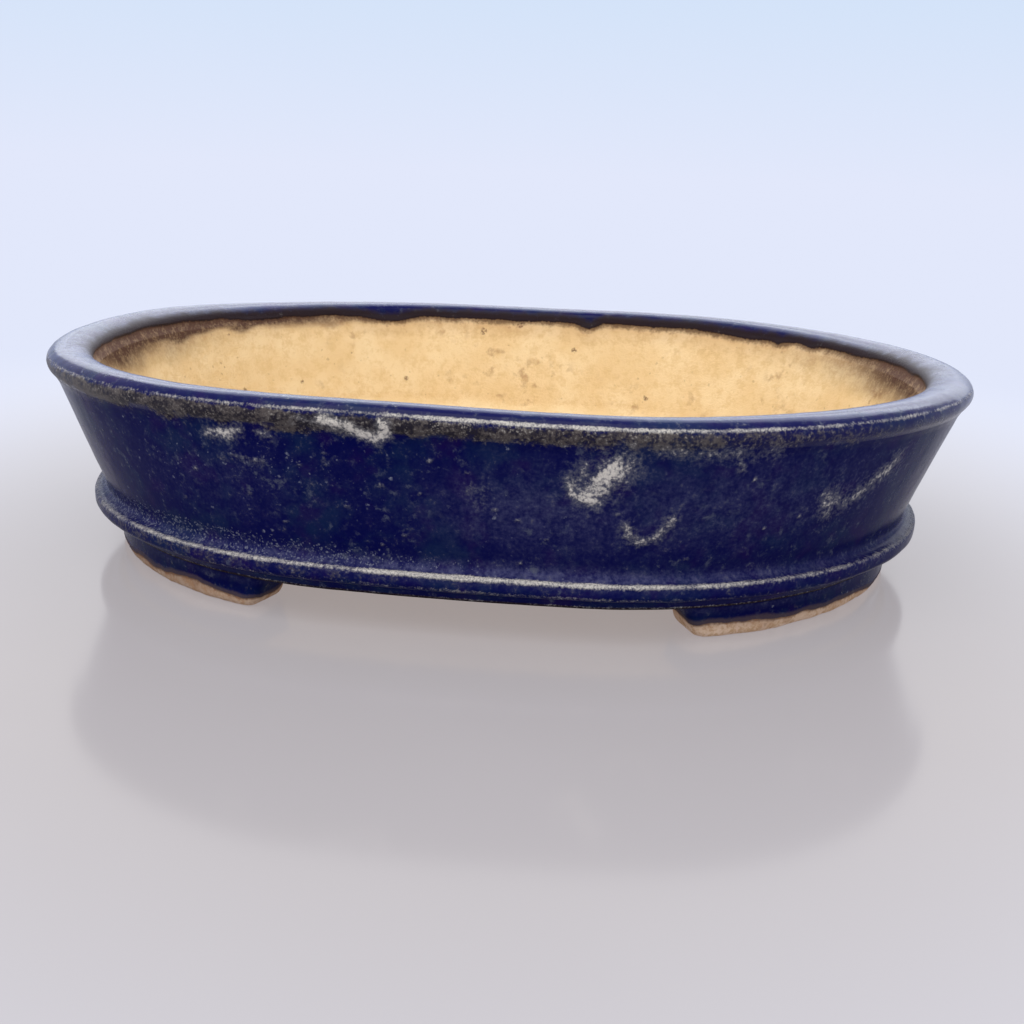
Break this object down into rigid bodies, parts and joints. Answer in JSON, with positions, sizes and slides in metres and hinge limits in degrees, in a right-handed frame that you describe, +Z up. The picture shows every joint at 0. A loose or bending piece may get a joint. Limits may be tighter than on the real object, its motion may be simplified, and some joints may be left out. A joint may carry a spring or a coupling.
{
  "type": "bonsai pot",
  "caption": "Low oval bonsai pot in dark blue glazed stoneware, with a flared wall, a rolled lip, a bead round the waist, short feet and open drain holes.",
  "frame": {"origin": "centre of the oval plan, on the ground plane that the feet stand on", "axes": "+Z up, +X along the pot's long axis, -Y towards its front"},
  "size_m": [0.16, 0.128, 0.034],
  "materials": {
    "glazed_lip": "gloss cobalt blue glaze, worn thin and brownish along the outer edge",
    "glazed_wall": "gloss cobalt blue glaze outside with fine scratches and pale lime patches; bare buff clay inside",
    "glazed_bead": "gloss cobalt blue glaze, broken to a pale line along the edge",
    "glazed_base": "gloss dark blue glaze",
    "glazed_foot": "gloss dark blue glaze that stops above a bare brown clay sole",
    "bare_clay": "matt unglazed buff clay with iron specks and soil stains"
  },
  "bodies": {
    "root": {"lip": "glazed_lip", "wall": "glazed_wall", "waist_bead": "glazed_bead", "base_ring": "glazed_base", "foot_front_left": "glazed_foot", "foot_front_right": "glazed_foot", "foot_back_left": "glazed_foot", "foot_back_right": "glazed_foot", "floor_slab": "bare_clay"}
  },
  "joints": []
}
